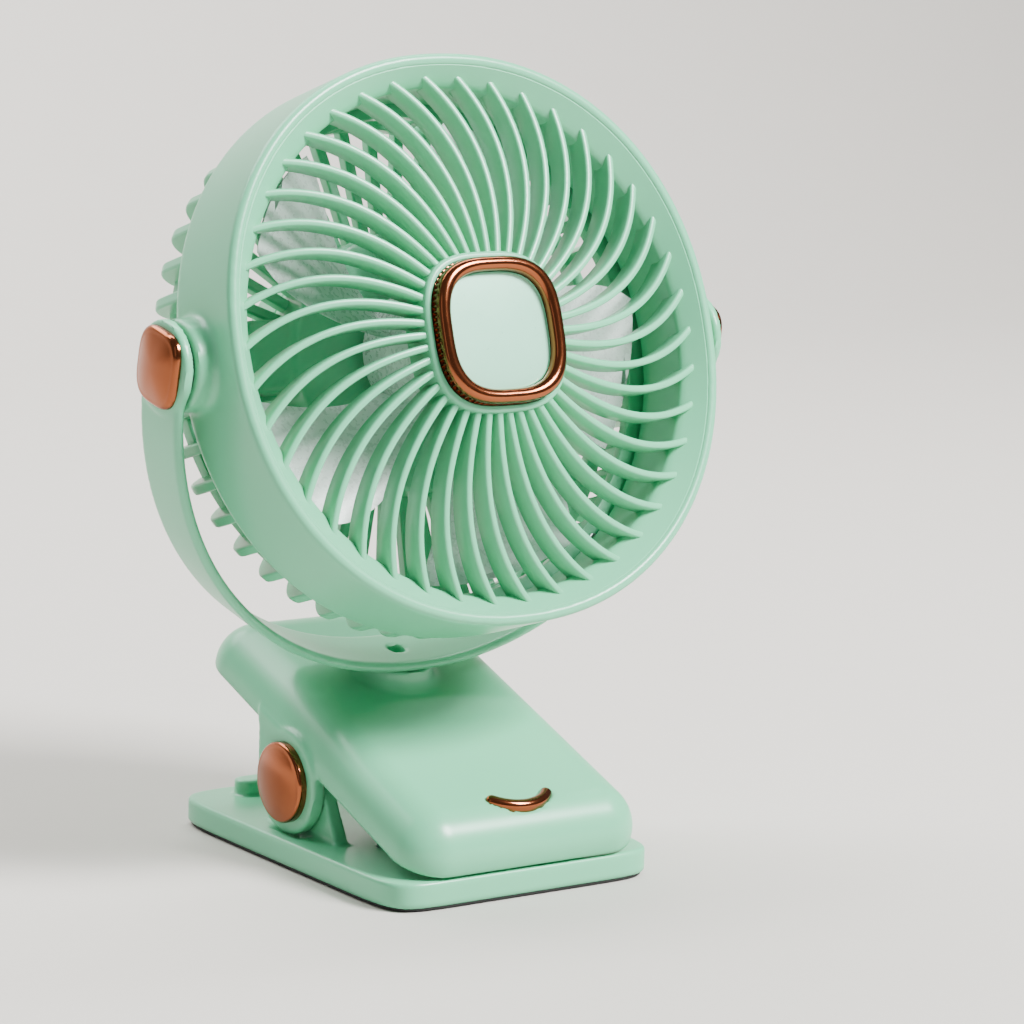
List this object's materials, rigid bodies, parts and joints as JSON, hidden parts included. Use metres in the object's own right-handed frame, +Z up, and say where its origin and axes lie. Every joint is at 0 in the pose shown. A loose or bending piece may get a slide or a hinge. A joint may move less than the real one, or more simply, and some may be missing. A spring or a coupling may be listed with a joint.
{
  "type": "clip fan",
  "caption": "Round clip-on fan with a spiral front grille, tilting in a U-shaped yoke that swivels on the upper jaw of a sprung clip with a flat base.",
  "frame": {"origin": "on the underside of the foot pad, on the fan's middle plane and 2 mm in front of the clip's hinge axis", "axes": "+Z up, -Y towards the front of the fan and the nose of the clip, +X to the right of someone who stands in front of the fan and looks at it"},
  "size_m": [0.14, 0.0902, 0.1703],
  "materials": {
    "mint_plastic": "satin moulded plastic, mint green",
    "mint_plastic_inner": "satin moulded plastic, mint green",
    "copper_plating": "plastic with copper-coloured plating",
    "hub_plate": "pale pearl mint",
    "blade_plastic": "translucent pale grey plastic",
    "foot_rubber": "matt black rubber",
    "grip_rubber": "soft grey-green silicone",
    "washer_rubber": "dark friction washer",
    "steel": "zinc-plated steel",
    "spring_steel": "bright spring wire",
    "bronze": "sintered bronze",
    "terminal_brass": "plated brass",
    "magnet": "dark ferrite",
    "armature": "laminations with copper winding",
    "white_plastic": "natural white plastic",
    "black_plastic": "black plastic",
    "battery_wrap": "silver foil wrap",
    "lead_insulation": "red insulation",
    "board": "green board",
    "lens": "clear lens"
  },
  "bodies": {
    "base": {"base_plate": "mint_plastic", "base_foot_pad": "foot_rubber", "base_grip_pad": "grip_rubber", "hinge_pin": "steel", "torsion_spring": "spring_steel"},
    "clip_jaw": {"jaw_shell": "mint_plastic", "jaw_under_cover": "mint_plastic_inner", "under_cover_screws": "steel", "jaw_grip_pad": "grip_rubber", "jaw_trim_bar": "copper_plating", "hinge_cap_left": "copper_plating", "hinge_cap_right": "copper_plating"},
    "yoke": {"yoke": "mint_plastic", "swivel_washer": "steel", "swivel_screw": "steel", "pivot_washers": "washer_rubber", "pivot_cap_left": "copper_plating", "pivot_cap_right": "copper_plating"},
    "head": {"head_ring": "mint_plastic", "front_grille": "mint_plastic", "hub_ring": "copper_plating", "hub_plate": "hub_plate", "rear_grille": "mint_plastic", "grille_screws": "steel", "rear_cover": "mint_plastic", "rear_cover_screws": "steel", "pivot_screws": "steel", "motor_can": "steel", "motor_magnets": "magnet", "motor_bush": "bronze", "motor_end_cap": "white_plastic", "motor_terminals": "terminal_brass", "motor_screws": "steel", "battery_pack": "battery_wrap", "battery_leads": "lead_insulation", "circuit_board": "board", "button_switch": "black_plastic", "usb_port": "steel", "indicator_light": "lens"},
    "rotor": {"fan_blades": "blade_plastic", "motor_shaft": "steel", "motor_armature": "armature"},
    "button": {"power_button": "mint_plastic_inner"}
  },
  "joints": [
    {"name": "jaw_hinge", "type": "hinge", "parent": "base", "child": "clip_jaw", "pos_m": [0, 0.002, 0.017], "axis": [-1, 0, 0], "range_deg": [0, 35], "stiffness_Nm_per_rad": 0.5, "springref_deg": -45.84, "deforming": ["torsion_spring"]},
    {"name": "yoke_swivel", "type": "hinge", "parent": "clip_jaw", "child": "yoke", "pos_m": [0, 0.006, 0.0402], "axis": [0, -0.2079, 0.9781], "continuous": true},
    {"name": "head_tilt", "type": "hinge", "parent": "yoke", "child": "head", "pos_m": [0, -0.00851, 0.10847], "axis": [1, 0, 0], "continuous": true},
    {"name": "rotor_spin", "type": "hinge", "parent": "head", "child": "rotor", "pos_m": [0, -0.00851, 0.10847], "axis": [0, 0.9537, -0.3007], "continuous": true},
    {"name": "button_press", "type": "slide", "parent": "head", "child": "button", "axis": [0, -0.9537, 0.3007], "range_m": [0, 0.0008], "stiffness_N_per_m": 1500, "springref_m": -0.0005}
  ]
}
